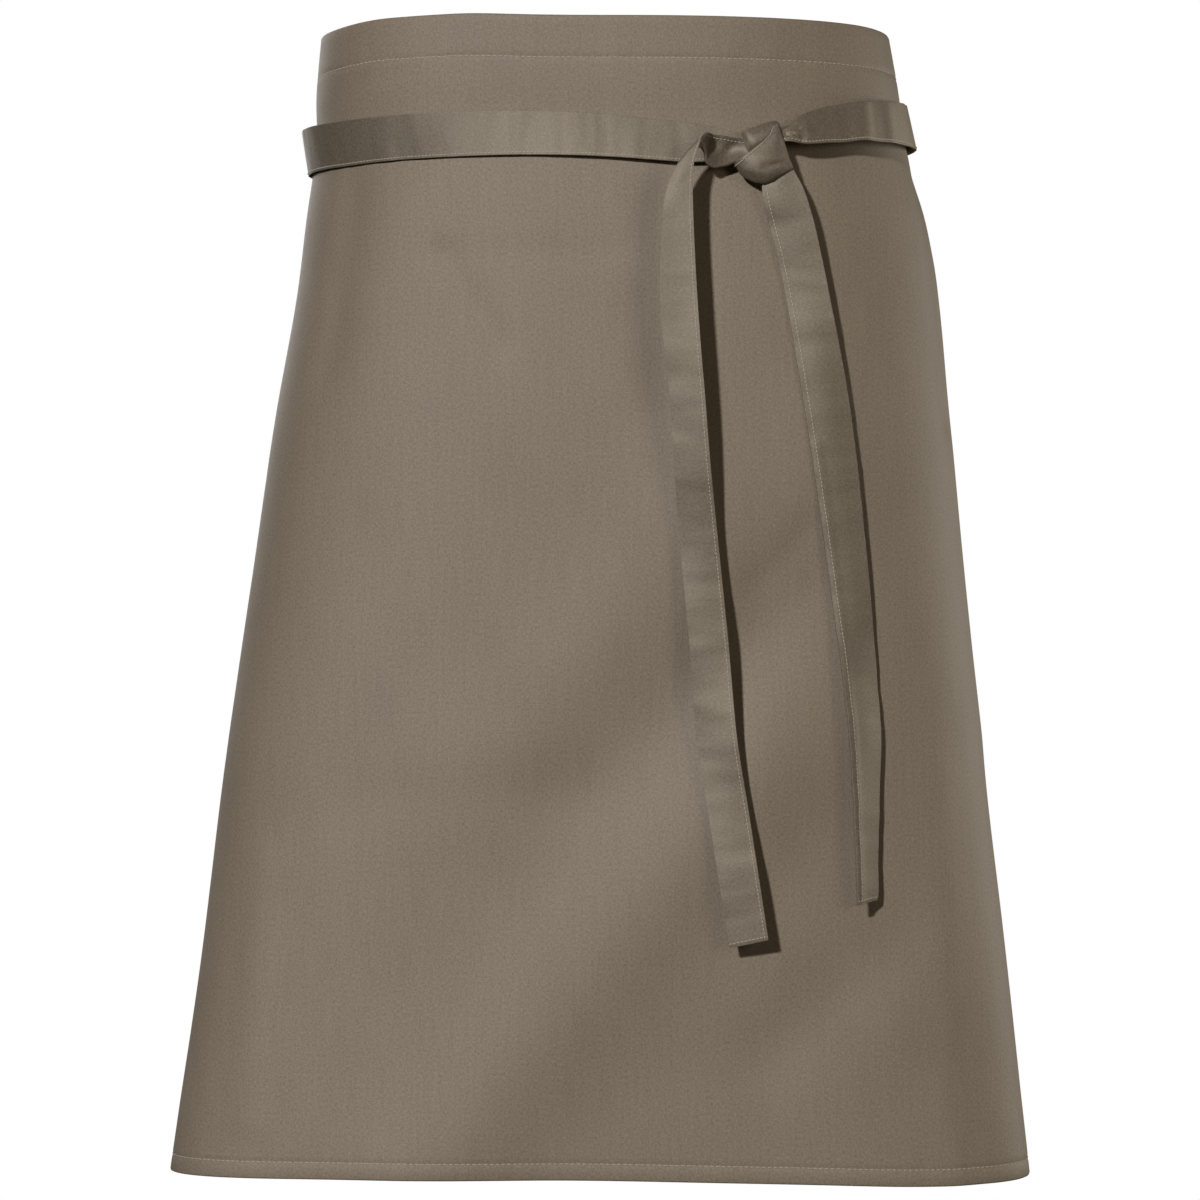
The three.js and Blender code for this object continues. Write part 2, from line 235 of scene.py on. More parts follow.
@dataclass
class WornCloth:
    """The shape that the cloth takes round the waist and down to the hem.

    `folds` stand out from the sections. `sags` lower the cloth, or lift it where their
    height is below zero. `samples` is the number of points round half a cut.
    """

    sections: Sequence[PlanSection]
    folds: Sequence[Fold]
    sags: Sequence[Fold]
    samples: int = 360
    cuts: dict[float, Cut] = field(default_factory=dict)

    def cut(self, drop: float) -> Cut:
        """Gives the level cut at one height, worked out once.

        Args:
            drop: Depth below the top edge.

        Returns:
            The cut.
        """
        if drop not in self.cuts:
            self.cuts[drop] = self._work_out(drop)
        return self.cuts[drop]

    def _work_out(self, drop: float) -> Cut:
        """Works out the level cut at one height.

        Args:
            drop: Depth below the top edge.

        Returns:
            The cut.
        """
        size = {name: look_up(self.sections, "drop", name, drop)
                for name in ("left", "right", "ahead", "front", "back", "power")}
        turn = np.linspace(-math.pi, math.pi, 2 * self.samples + 1)
        side = np.where(turn > 0, size["right"], size["left"])
        depth = np.where(np.cos(turn) > 0, size["front"], size["back"])
        sideways = (np.abs(np.sin(turn)) / side) ** size["power"]
        forwards = (np.abs(np.cos(turn)) / depth) ** size["power"]
        reach = (sideways + forwards) ** (-1 / size["power"])
        points = np.stack([reach * np.sin(turn), -size["ahead"] - reach * np.cos(turn)], axis=1)
        lengths = lengths_along(points)
        ring = points[:-1]
        along = np.roll(ring, -2, axis=0) - np.roll(ring, 2, axis=0)
        outwards = np.stack([along[:, 1], -along[:, 0]], axis=1)
        outwards /= np.linalg.norm(outwards, axis=1, keepdims=True)
        outwards = np.concatenate([outwards, outwards[:1]])
        return Cut(drop, points, outwards, lengths - lengths[self.samples])

    def at_index(self, cut: Cut, index: np.ndarray, off: np.ndarray) -> np.ndarray:
        """Gives points by their place in a cut's list.

        Args:
            cut: The level cut.
            index: Places in its list, with fractions.
            off: Distances outwards from the cloth.

        Returns:
            An array of points, in millimetres.
        """
        steps = np.arange(len(cut.points))
        place = np.stack([np.interp(index, steps, cut.points[:, k]) for k in (0, 1)], axis=1)
        out = np.stack([np.interp(index, steps, cut.outwards[:, k]) for k in (0, 1)], axis=1)
        across = np.interp(index, steps, cut.lengths)
        place = place + out * (fold_height(self.folds, across, cut.drop) + off)[:, None]
        return np.column_stack([place, np.full(len(place), -cut.drop)])

    def level_line(self, across: np.ndarray, drop: float, off: np.ndarray) -> np.ndarray:
        """Gives points along one level line of the cloth.

        Args:
            across: Places round the cloth from centre front.
            drop: Depth below the top edge.
            off: Distances outwards from the cloth.

        Returns:
            An array of points, in millimetres.
        """
        cut = self.cut(drop)
        index = np.interp(across, cut.lengths, np.arange(len(cut.lengths)))
        points = self.at_index(cut, index, off)
        points[:, 2] -= fold_height(self.sags, across, drop)
        return points

    def at_turn(self, turn: float, drop: float, off: float) -> np.ndarray:
        """Gives the point at an angle round the waist, in degrees from centre front."""
        index = ((turn + 180) % 360) / 180 * self.samples
        return self.at_index(self.cut(drop), np.array([index]), np.array([off]))[0]

    def in_front(self, x: float, drop: float, out: float) -> np.ndarray:
        """Gives a point straight towards the viewer from the cloth.

        Args:
            x: Its place to the right of centre.
            drop: Its depth below the top edge.
            out: Its distance from the cloth.

        Returns:
            The point, in millimetres.
        """
        cut = self.cut(round(drop, 1))
        quarter = self.samples // 2
        front = cut.points[quarter:3 * quarter + 1, 0]
        index = quarter + np.interp(x, front, np.arange(len(front)))
        cloth = self.at_index(cut, np.array([index]), np.array([0.0]))[0]
        return np.array([x, cloth[1] - out, -drop])


def new_object(name: str, bm: bmesh.types.BMesh,
               material: bpy.types.Material) -> bpy.types.Object:
    """Makes an object at the origin from a bmesh, smooth shaded.

    Args:
        name: The piece's name.
        bm: Its mesh, which is freed.
        material: Its finish.

    Returns:
        The object.
    """
    mesh = bpy.data.meshes.new(name)
    bm.to_mesh(mesh)
    bm.free()
    mesh.shade_smooth()
    mesh.materials.append(material)
    piece = bpy.data.objects.new(name, mesh)
    bpy.context.scene.collection.objects.link(piece)
    return piece


def laid_grid(points: np.ndarray, flat: np.ndarray) -> bmesh.types.BMesh:
    """Lays a grid over a field of points.

    Args:
        points: Places in millimetres, by row and column; rows rise as seen on the face.
        flat: The flat place of each on the cloth, in millimetres.

    Returns:
        A bmesh with the flat places, in metres, as its UV map.
    """
    rows, columns = points.shape[:2]
    bm = bmesh.new()
    uv = bm.loops.layers.uv.new(UV_NAME)
    bmesh.ops.create_grid(bm, x_segments=columns - 1, y_segments=rows - 1, size=1.0)
    place = {}
    for vert in bm.verts:
        column = round((vert.co.x + 1) / 2 * (columns - 1))
        row = round((vert.co.y + 1) / 2 * (rows - 1))
        place[vert] = (row, column)
    for vert, (row, column) in place.items():
        vert.co = Vector(points[row, column]) * MM
    for face in bm.faces:
        for loop in face.loops:
            loop[uv].uv = flat[place[loop.vert]] * MM
    return bm


def thicken(piece: bpy.types.Object, wall: float, offset: float) -> None:
    """Gives a sheet its thickness.

    Args:
        piece: The sheet.
        wall: Thickness in metres.
        offset: -1 to thicken behind the face, 0 to both sides.
    """
    modifier = piece.modifiers.new("wall", "SOLIDIFY")
    modifier.thickness = wall
    modifier.offset = offset
    modifier.use_even_offset = False


def dress(piece: bpy.types.Object, nodes: Sequence[str] = ()) -> None:
    """Puts a piece into the frame.

    Args:
        piece: The piece.
        nodes: Solids that it stands for.
    """
    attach(piece, "root")
    if nodes:
        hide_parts(*nodes)
    log.info("%s: %d faces", piece.name, len(piece.data.polygons))


def link(tree: bpy.types.NodeTree, source: bpy.types.NodeSocket,
         target: bpy.types.NodeSocket) -> None:
    """Joins two sockets of a node tree."""
    tree.links.new(source, target)


def math_node(tree: bpy.types.NodeTree, operation: str, first: object,
              second: object = 0.0) -> bpy.types.NodeSocket:
    """Adds a Math node.

    Args:
        tree: The node tree.
        operation: Its operation.
        first: A socket or a number.
        second: A socket or a number.

    Returns:
        The result's socket.
    """
    node = tree.nodes.new("ShaderNodeMath")
    node.operation = operation
    for socket, value in zip(node.inputs, (first, second)):
        if isinstance(value, bpy.types.NodeSocket):
            link(tree, value, socket)
        else:
            socket.default_value = value
    return node.outputs["Value"]


@dataclass(frozen=True)
class Grain:
    """One noise of the weave, stretched along the cloth's own threads.

    `across` and `along` are its waves for each metre.
    """

    across: float
    along: float
    octaves: float

    def build(self, tree: bpy.types.NodeTree,
              place: bpy.types.NodeSocket) -> bpy.types.NodeSocket:
        """Adds the noise to a node tree.

        Args:
            tree: The node tree.
            place: Flat coordinates of the cloth, in metres.

        Returns:
            The noise's value socket.
        """
        mapping = tree.nodes.new("ShaderNodeMapping")
        mapping.inputs["Scale"].default_value = (self.across, self.along, 1.0)
        link(tree, place, mapping.inputs["Vector"])
        texture = tree.nodes.new("ShaderNodeTexNoise")
        texture.inputs["Scale"].default_value = 1.0
        texture.inputs["Detail"].default_value = self.octaves
        link(tree, mapping.outputs["Vector"], texture.inputs["Vector"])
        return texture.outputs["Fac"]


# The weave's noises, their shares of its tone and height, and its depth in metres.
WARP = Grain(1000.0, 520.0, 2.0)
WEFT = Grain(560.0, 1200.0, 2.0)
STREAKS = Grain(420.0, 26.0, 3.0)
CLOUDS = Grain(22.0, 16.0, 3.0)
WARP_SHARE = 0.55
WEFT_SHARE = 0.45
CLOUD_SHARE = 0.12
WALE_HEIGHT = 0.9
HALF_WALE = 0.5
NOISE_MEAN = 0.5
TONE_RANGE = (0.25, 0.75)
WEAVE_DEPTH = 0.0004


def twill_group() -> bpy.types.NodeTree:
    """Builds the weave shared by the cloth finishes.

    Returns:
        A node group that puts out Tone, a mask for light and dark threads, and Height.
    """
    name = "twill weave"
    if name in bpy.data.node_groups:
        return bpy.data.node_groups[name]
    tree = bpy.data.node_groups.new(name, "ShaderNodeTree")
    for socket in ("Wales across", "Wales along", "Slub"):
        tree.interface.new_socket(socket, in_out="INPUT", socket_type="NodeSocketFloat")
    for socket in ("Tone", "Height"):
        tree.interface.new_socket(socket, in_out="OUTPUT", socket_type="NodeSocketFloat")
    given = tree.nodes.new("NodeGroupInput")
    made = tree.nodes.new("NodeGroupOutput")
    flat = tree.nodes.new("ShaderNodeUVMap")
    flat.uv_map = UV_NAME
    split = tree.nodes.new("ShaderNodeSeparateXYZ")
    link(tree, flat.outputs["UV"], split.inputs["Vector"])
    across = math_node(tree, "MULTIPLY", split.outputs["X"], given.outputs["Wales across"])
    along = math_node(tree, "MULTIPLY", split.outputs["Y"], given.outputs["Wales along"])
    ridge = math_node(tree, "PINGPONG", math_node(tree, "ADD", across, along), HALF_WALE)
    warp, weft, streaks, clouds = (grain.build(tree, flat.outputs["UV"])
                                   for grain in (WARP, WEFT, STREAKS, CLOUDS))
    threads = math_node(tree, "ADD", math_node(tree, "MULTIPLY", warp, WARP_SHARE),
                        math_node(tree, "MULTIPLY", weft, WEFT_SHARE))
    slub = math_node(tree, "MULTIPLY", math_node(tree, "SUBTRACT", streaks, NOISE_MEAN),
                     given.outputs["Slub"])
    cloud = math_node(tree, "MULTIPLY", math_node(tree, "SUBTRACT", clouds, NOISE_MEAN),
                      CLOUD_SHARE)
    tone = math_node(tree, "ADD", math_node(tree, "ADD", threads, slub), cloud)
    link(tree, tone, made.inputs["Tone"])
    height = math_node(tree, "ADD", math_node(tree, "MULTIPLY", ridge, WALE_HEIGHT), threads)
    link(tree, height, made.inputs["Height"])
    return tree


@dataclass(frozen=True)
class ClothFinish:
    """A woven finish: its colours, weave and sheen."""

    name: str
    dark: Color
    light: Color
    roughness: float
    specular: float
    ior: float
    wales: tuple[float, float]
    slub: float
    bump: float
    sheen: Color = (1.0, 1.0, 1.0)

    def material(self) -> bpy.types.Material:
        """Builds the finish once.

        Returns:
            The material.
        """
        if self.name in bpy.data.materials:
            return bpy.data.materials[self.name]
        material = bpy.data.materials.new(self.name)
        material.use_nodes = True
        tree = material.node_tree
        shader = tree.nodes["Principled BSDF"]
        weave = tree.nodes.new("ShaderNodeGroup")
        weave.node_tree = twill_group()
        weave.inputs["Wales across"].default_value = self.wales[0]
        weave.inputs["Wales along"].default_value = self.wales[1]
        weave.inputs["Slub"].default_value = self.slub
        ramp = tree.nodes.new("ShaderNodeValToRGB")
        tones = zip(ramp.color_ramp.elements, TONE_RANGE, (self.dark, self.light))
        for element, position, color in tones:
            element.position = position
            element.color = (*color, 1.0)
        link(tree, weave.outputs["Tone"], ramp.inputs["Fac"])
        link(tree, ramp.outputs["Color"], shader.inputs["Base Color"])
        bump = tree.nodes.new("ShaderNodeBump")
        bump.inputs["Strength"].default_value = self.bump
        bump.inputs["Distance"].default_value = WEAVE_DEPTH
        link(tree, weave.outputs["Height"], bump.inputs["Height"])
        link(tree, bump.outputs["Normal"], shader.inputs["Normal"])
        shader.inputs["Roughness"].default_value = self.roughness
        shader.inputs["Specular IOR Level"].default_value = self.specular
        shader.inputs["IOR"].default_value = self.ior
        shader.inputs["Specular Tint"].default_value = (*self.sheen, 1.0)
        return material


@dataclass(frozen=True)
class ThreadFinish:
    """Plain sewing thread."""

    name: str
    color: Color
    roughness: float

    def material(self) -> bpy.types.Material:
        """Builds the finish once.

        Returns:
            The material.
        """
        if self.name in bpy.data.materials:
            return bpy.data.materials[self.name]
        material = bpy.data.materials.new(self.name)
        material.use_nodes = True
        shader = material.node_tree.nodes["Principled BSDF"]
        shader.inputs["Base Color"].default_value = (*self.color, 1.0)
        shader.inputs["Roughness"].default_value = self.roughness
        return material


PANEL_TWILL = ClothFinish("panel_cloth", (0.140, 0.1110, 0.0785), (0.300, 0.2390, 0.1720),
                          0.65, 0.65, 1.5, (1500.0, 800.0), 0.14, 0.3)
TIE_TWILL = ClothFinish("tie_cloth", (0.036, 0.029, 0.020), (0.192, 0.155, 0.110),
                        0.61, 1.0, 1.7, (250.0, 2200.0), 0.12, 0.2, (1.0, 0.88, 0.735))
THREAD = ThreadFinish("seam_thread", (0.50, 0.445, 0.365), 0.6)

# How flat places are rounded, and grid lines inside a turning and beside a seam.
FLAT_DIGITS = 4
INSIDE_STEPS = np.array([0.0, 3.0, 8.0, 14.0, 20.0])
SEAM_STEPS = np.array([-4.0, -2.2, -1.0, 0.0, 1.0, 2.2, 4.0])


@dataclass
class ApronPanel:
    """The rectangular cloth with its four turned edges, hung round the waist.

    Sizes are in millimetres. `pucker` is the height of the puckers along a seam, which
    fade over `pucker_reach`, and `uneven` is how far the whole cloth waves.
    """

    worn: WornCloth
    width: float = 860.0
    drop: float = PANEL_DROP
    waist_turning: float = 25.0
    hem_turning: float = 10.0
    side_turning: float = 10.0
    fold_radius: float = 1.1
    wall: float = 1.0
    step: float = 4.6
    bend_steps: int = 4
    seam_clearance: float = 6.0
    seam_dent: float = 0.45
    seam_reach: float = 1.4
    pucker: float = 0.55
    hem_pucker_share: float = 0.6
    pucker_reach: float = 9.0
    pucker_least: float = 0.01
    pucker_waves: tuple[float, float] = (13.0, 30.0)
    uneven: float = 0.8
    uneven_waves: tuple[float, float] = (95.0, 130.0)
    uneven_seed: float = 3.0
    thread_pitch: float = 3.4
    thread_radius: float = 0.22
    thread_lift: float = 0.12
    thread_inset: float = 2.0
    thread_samples: int = 430

    def lines(self, low: float, high: float, before: float, after: float,
              seams: Sequence[float]) -> np.ndarray:
        """Chooses grid lines along one side of the flat cloth.

        Args:
            low: Place of the first edge.
            high: Place of the other edge.
            before: Depth of the turning past the first edge.
            after: Depth of the turning past the other edge.
            seams: Places of stitch rows, where lines lie closer.

        Returns:
            Rising flat places, the turnings included.
        """
        bend = math.pi * self.fold_radius
        arc = np.linspace(0, bend, self.bend_steps + 1)
        start, stop = low + self.fold_radius, high - self.fold_radius
        first = start - bend - before + INSIDE_STEPS[INSIDE_STEPS < before - 1]
        last = stop + bend + after - INSIDE_STEPS[INSIDE_STEPS < after - 1]
        middle = np.linspace(start, stop, round((stop - start) / self.step) + 1)
        for seam in seams:
            middle = middle[np.abs(middle - seam) > self.seam_clearance]
            middle = np.concatenate([middle, seam + SEAM_STEPS])
        middle = middle[(middle > start) & (middle < stop)]
        whole = np.concatenate([first, start - arc, middle, stop + arc, last])
        return np.unique(np.round(whole, FLAT_DIGITS))

    def turned(self, flat: np.ndarray, low: float, high: float) -> tuple[np.ndarray, np.ndarray]:
        """Folds flat places over the cloth's edges.

        Args:
            flat: Flat places along one side of the cloth.
            low: Place of the first edge.
            high: Place of the other edge.

        Returns:
            The place of each on the hanging cloth, and how far it lies inside.
        """
        radius = self.fold_radius
        before, after = low + radius - flat, flat - (high - radius)
        past = np.maximum(before, after)
        angle = np.clip(past / radius, 0, math.pi)
        reach = radius * np.sin(angle) - np.clip(past - math.pi * radius, 0, None)
        place = np.where(after > 0, high - radius + reach, flat)
        place = np.where(before > 0, low + radius - reach, place)
        return place, radius * (1 - np.cos(angle))

    def seams(self) -> tuple[float, float]:
        """Gives the depths of the stitch rows below the waist and over the hem."""
        return self.waist_turning, self.drop - self.hem_turning

    def relief(self, across: np.ndarray, drop: float) -> np.ndarray:
        """Adds the small relief: seams, their puckers and the cloth's own unevenness.

        Args:
            across: Flat places round the cloth.
            drop: Flat depth below the top edge.

        Returns:
            Heights in millimetres.
        """
        total = np.zeros_like(across)
        pucker_across, pucker_along = self.pucker_waves
        for seam, share in zip(self.seams(), (1.0, self.hem_pucker_share)):
            away = drop - seam
            total -= self.seam_dent * math.exp(-(away / self.seam_reach) ** 2)
            near = math.exp(-(away / self.pucker_reach) ** 2) * self.pucker * share
            if near > self.pucker_least:
                total += near * waves(across / pucker_across, seam, away / pucker_along)
        uneven_across, uneven_along = self.uneven_waves
        total += self.uneven * waves(across / uneven_across, drop / uneven_along,
                                     self.uneven_seed)
        return total

    def build(self) -> bpy.types.Object:
        """Lays the grid and gives it its thickness.

        Returns:
            The panel.
        """
        half = self.width / 2
        columns = self.lines(-half, half, self.side_turning, self.side_turning, ())
        rows = self.lines(0.0, self.drop, self.waist_turning, self.hem_turning, self.seams())
        across, inside_side = self.turned(columns, -half, half)
        drops, inside_edge = self.turned(rows, 0.0, self.drop)
        points = np.zeros((len(rows), len(columns), 3))
        flat = np.zeros((len(rows), len(columns), 2))
        for k, (drop, flat_drop) in enumerate(zip(drops, rows)):
            row = len(rows) - 1 - k
            off = self.relief(across, drop) - inside_side - inside_edge[k]
            points[row] = self.worn.level_line(across, round(float(drop), FLAT_DIGITS), off)
            flat[row] = np.column_stack([columns, np.full(len(columns), -flat_drop)])
        piece = new_object("apron_panel", laid_grid(points, flat), PANEL_TWILL.material())
        thicken(piece, self.wall * MM, -1.0)
        return piece

    def sew(self) -> None:
        """Sews the turned edges."""
        end = self.width / 2 - self.thread_inset
        across = np.linspace(-end, end, self.thread_samples)
        for name, drop in zip(("waistband_stitching", "hem_stitching"), self.seams()):
            off = self.relief(across, drop) + self.thread_lift
            line = self.worn.level_line(across, drop, off)
            out = self.worn.level_line(across, drop, off + 1.0) - line
            row = Stitching(name, self.thread_pitch, self.thread_radius)
            row.add(line, out)
            row.dress()

    def dress(self) -> None:
        """Builds the panel and puts it into the frame."""
        piece = self.build()
        self.sew()
        dress(piece,
              ("skirt_panel", "waistband", "bottom_hem", "side_hem_left", "side_hem_right"))


def resample(net: np.ndarray, places: np.ndarray) -> np.ndarray:
    """Interpolates a control net along its first axis with smooth cubic curves.

    Args:
        net: Control values, one row for each station.
        places: Row numbers, with fractions.

    Returns:
        The values there.
    """
    slopes = np.gradient(net, axis=0)
    first = np.clip(np.floor(places).astype(int), 0, len(net) - 2)
    t = (places - first).reshape((-1,) + (1,) * (net.ndim - 1))
    keep = (1 + 2 * t) * (1 - t) ** 2
    rise = t * (1 - t) ** 2 * slopes[first] - t * t * (1 - t) * slopes[first + 1]
    return keep * net[first] + (1 - keep) * net[first + 1] + rise


@dataclass
class Strip:
    """A run of tie as a fine field of points in millimetres.

    Rows go across the tie from its first edge to its other edge and columns go along it.
    """

    points: np.ndarray

    def faces(self) -> np.ndarray:
        """Gives the direction of the face at every point.

        Returns:
            Unit vectors, by row and column.
        """
        across, along = np.gradient(self.points, axis=(0, 1))
        face = np.cross(along, across)
        return face / np.linalg.norm(face, axis=2, keepdims=True)

    def along(self) -> np.ndarray:
        """Gives the length along the middle up to each column."""
        return lengths_along(self.points[len(self.points) // 2])

    def across(self) -> np.ndarray:
        """Gives the length across from the first edge to every point."""
        steps = np.linalg.norm(np.diff(self.points, axis=0), axis=2)
        return np.concatenate([np.zeros((1, steps.shape[1])), np.cumsum(steps, axis=0)])

    def flat_size(self) -> tuple[float, float]:
        """Gives the mean width and the length of the cloth."""
        return float(self.across()[-1].mean()), float(self.along()[-1])


@dataclass
class TieCloth:
    """The doubled strip of cloth that the ties are made of, in millimetres.

    `crease` is the height of its shallow creases, `crease_slant` how much they change
    across it, and a finer wave is added to them.
    """

    wall: float = 1.4
    strips: int = 12
    step: float = 2.2
    least_steps: int = 8
    steps_per_station: int = 40
    steps_per_degree: float = 1.6
    crease: float = 0.5
    crease_length: float = 15.0
    crease_slant: float = 0.6
    fine_share: float = 0.5
    fine_scale: float = 2.3
    edge_round: float = 0.4
    edge_angle: float = 50.0

    def shares(self) -> np.ndarray:
        """Gives the places of the grid lines across, closer at the edges."""
        return (1 - np.cos(np.linspace(0, math.pi, self.strips + 1))) / 2

    def from_net(self, worn: WornCloth, net: Net) -> Strip:
        """Makes a strip from control spots in front of the panel.

        Args:
            worn: The cloth behind it.
            net: Stations along the strip; each holds x, drop and out for spots across it.

        Returns:
            The strip.
        """
        spots = np.array([[worn.in_front(*spot) for spot in station] for station in net])
        fine_places = np.linspace(0, len(spots) - 1, self.steps_per_station * len(spots))
        fine = resample(spots, fine_places)
        run = lengths_along(fine[:, fine.shape[1] // 2])
        count = max(round(run[-1] / self.step), self.least_steps) + 1
        places = np.interp(np.linspace(0, run[-1], count), run, fine_places)
        stations = resample(spots, places).transpose(1, 0, 2)
        return Strip(resample(stations, self.shares() * (len(stations) - 1)))

    def from_belt(self, worn: WornCloth, rows: Sequence[BeltStation]) -> Strip:
        """Makes a strip that lies round the waist.

        Args:
            worn: The cloth that it lies on.
            rows: Its table.

        Returns:
            The strip, from its lower edge to its upper edge.
        """
        first, last = rows[0].turn, rows[-1].turn
        turns = np.linspace(first, last, round((last - first) * self.steps_per_degree))
        edges = np.zeros((2, len(turns), 3))
        for k, turn in enumerate(turns):
            value = {name: look_up(rows, "turn", name, turn)
                     for name in ("drop", "upper", "lower", "width")}
            half = value["width"] / 2
            edges[0, k] = worn.at_turn(turn, round(value["drop"] + half, 2), value["lower"])
            edges[1, k] = worn.at_turn(turn, round(value["drop"] - half, 2), value["upper"])
        shares = self.shares()[:, None, None]
        return Strip(edges[0] * (1 - shares) + edges[1] * shares)

    def crumple(self, strip: Strip, seed: float) -> None:
        """Adds shallow creases across a strip.

        Args:
            strip: The strip, which is changed.
            seed: Picks its creases.
        """
        along, faces = strip.along(), strip.faces()
        for row, share in enumerate(self.shares()):
            for column, length in enumerate(along):
                place = Vector((length / self.crease_length, share * self.crease_slant, seed))
                fine = self.fine_share * noise.noise(place * self.fine_scale)
                wave = noise.noise(place) + fine
                strip.points[row, column] += faces[row, column] * (self.crease * wave)

    def press(self, strip: Strip, folds: Sequence[Fold]) -> None:
        """Presses folds into a strip.

        Args:
            strip: The strip, which is changed.
            folds: Folds by the length along the strip and the width across it.
        """
        across = strip.across()
        height = fold_height(folds, np.broadcast_to(strip.along(), across.shape), across)
        strip.points += strip.faces() * height[:, :, None]

    def build(self, name: str, strip: Strip) -> bpy.types.Object:
        """Makes the cloth of one run.

        Args:
            name: The piece's name.
            strip: Its run.

        Returns:
            The piece, with its thickness and soft edges.
        """
        across, along = strip.across(), strip.along()
        flat = np.stack([np.broadcast_to(along, across.shape), across], axis=2)
        piece = new_object(name, laid_grid(strip.points, flat), TIE_TWILL.material())
        thicken(piece, self.wall * MM, 0.0)
        soften = piece.modifiers.new("soft edges", "BEVEL")
        soften.width = self.edge_round * MM
        soften.segments = 2
        soften.limit_method = "ANGLE"
        soften.angle_limit = math.radians(self.edge_angle)
        return piece


@dataclass
class Stitching:
    """Rows of small stitches, joined into one piece; sizes in millimetres.

    Each stitch dips into the cloth by `depth`. `share` lifts it, so that more of it shows,
    and `crest` is where its top is cut flat.
    """

    name: str
    pitch: float = 2.9
    radius: float = 0.22
    share: float = 0.05
    depth: float = 0.55
    crest: float = 0.35
    rings: int = 8
    sides: int = 4
    rows: list[bmesh.types.BMesh] = field(default_factory=list)

    def add(self, line: np.ndarray, out: np.ndarray) -> None:
        """Sews one row.

        Args:
            line: Points along the row.
            out: The direction away from the cloth at each point.
        """
        run = lengths_along(line)
        count = int(run[-1] / self.pitch)
        phase = np.linspace(0, 1, self.rings, endpoint=False)
        places = (np.arange(count)[:, None] + phase[None, :]).ravel() * self.pitch
        middle = np.stack([np.interp(places, run, line[:, k]) for k in range(3)], axis=1)
        up = np.stack([np.interp(places, run, out[:, k]) for k in range(3)], axis=1)
        ahead = np.gradient(middle, axis=0)
        side = np.cross(ahead, up)
        side /= np.linalg.norm(side, axis=1, keepdims=True)
        showing = np.sin(np.tile(phase, count) * 2 * math.pi) + self.share
        middle = middle + up * np.clip(showing, -1.0, self.crest)[:, None] * self.depth
        turns = np.linspace(0, 2 * math.pi, self.sides + 1)
        tube = [middle + self.radius * (side * math.cos(turn) + up * math.sin(turn))
                for turn in turns]
        points = np.stack(tube, axis=0)
        self.rows.append(laid_grid(points, np.zeros((*points.shape[:2], 2))))

    def along_strip(self, strip: Strip, inset: float, standoff: float) -> None:
        """Sews a row along a strip.

        Args:
            strip: The strip.
            inset: Distance from the first edge, or from the other edge if below zero.
            standoff: Height over the strip's middle surface. Below zero, the row shows on
                the back.
        """
        width, faces = strip.across(), strip.faces() * math.copysign(1.0, standoff)
        columns = range(strip.points.shape[1])
        where = [inset if inset > 0 else width[-1, c] + inset for c in columns]
        line, out = (np.array([[np.interp(where[c], width[:, c], values[:, c, k])
                                for k in range(3)] for c in columns])
                     for values in (strip.points, faces))
        self.add(line + out * abs(standoff), out)

    def across_strip(self, strip: Strip, inset: float, standoff: float) -> None:
        """Sews a row across a strip's last end.

        Args:
            strip: The strip.
            inset: Distance from the end.
            standoff: Height over the strip's middle surface.
        """
        along = strip.along()
        column = int(np.searchsorted(along, along[-1] - inset))
        faces = strip.faces()[1:-1, column]
        self.add(strip.points[1:-1, column] + faces * standoff, faces)

    def dress(self) -> None:
        """Joins the rows and puts them into the frame."""
        whole = bmesh.new()
        for row in self.rows:
            mesh = bpy.data.meshes.new("row")
            row.to_mesh(mesh)
            row.free()
            whole.from_mesh(mesh)
            bpy.data.meshes.remove(mesh)
        piece = new_object(self.name, whole, THREAD.material())
        dress(piece)


BELT_LEFT = (
    BeltStation(-212, 13, 1.8, 1.8, 24),
    BeltStation(-206, 14, 3.9, 3.9, 24),
    BeltStation(-195, 20, 5, 5, 25),
    BeltStation(-180, 29, 5.2, 5.2, 25),
    BeltStation(-165, 39, 5, 5, 25),
    BeltStation(-154, 45, 3.9, 3.9, 25),
    BeltStation(-144, 51, 2, 2, 25),
    BeltStation(-130, 58, 2.2, 1.9, 25),
    BeltStation(-110, 65, 4.4, 1.7, 26),
    BeltStation(-90, 69.5, 7.6, 1.6, 27),
    BeltStation(-68, 70.3, 8.2, 1.6, 26.5),
    BeltStation(-47, 68.8, 6.8, 1.7, 26),
    BeltStation(-22, 68, 2.4, 2.6, 26),
    BeltStation(0, 69.5, 1.6, 4.4, 25.5),
    BeltStation(14, 72, 1.6, 5.0, 24.5),
    BeltStation(23, 73.5, 1.8, 5.0, 24),
    BeltStation(30, 74.6, 2.6, 4.4, 20.5),
    BeltStation(35, 75, 4, 4, 15.5),
    BeltStation(40, 75, 5, 5, 10.5),
)
BELT_RIGHT = (
    BeltStation(43, 70, 12.5, 13, 8),
    BeltStation(45, 68.4, 14, 15.5, 9.5),
    BeltStation(48.4, 65.5, 12.5, 15.5, 17.6),
    BeltStation(54.8, 61.2, 7.5, 13, 22),
    BeltStation(61.6, 58.2, 5, 10.5, 23.4),
    BeltStation(71, 56.4, 4.2, 7.5, 25.5),
    BeltStation(80, 55.2, 3.6, 6.2, 27),
    BeltStation(92, 54, 2.8, 4.6, 27),
    BeltStation(110, 53, 2.2, 2.2, 26),
    BeltStation(135, 50, 1.9, 1.9, 25),
    BeltStation(152, 44, 1.9, 1.9, 25),
    BeltStation(180, 29, 1.8, 1.8, 25),
    BeltStation(204, 15, 1.8, 1.8, 24),
    BeltStation(212, 13, 1.8, 1.8, 24),
)
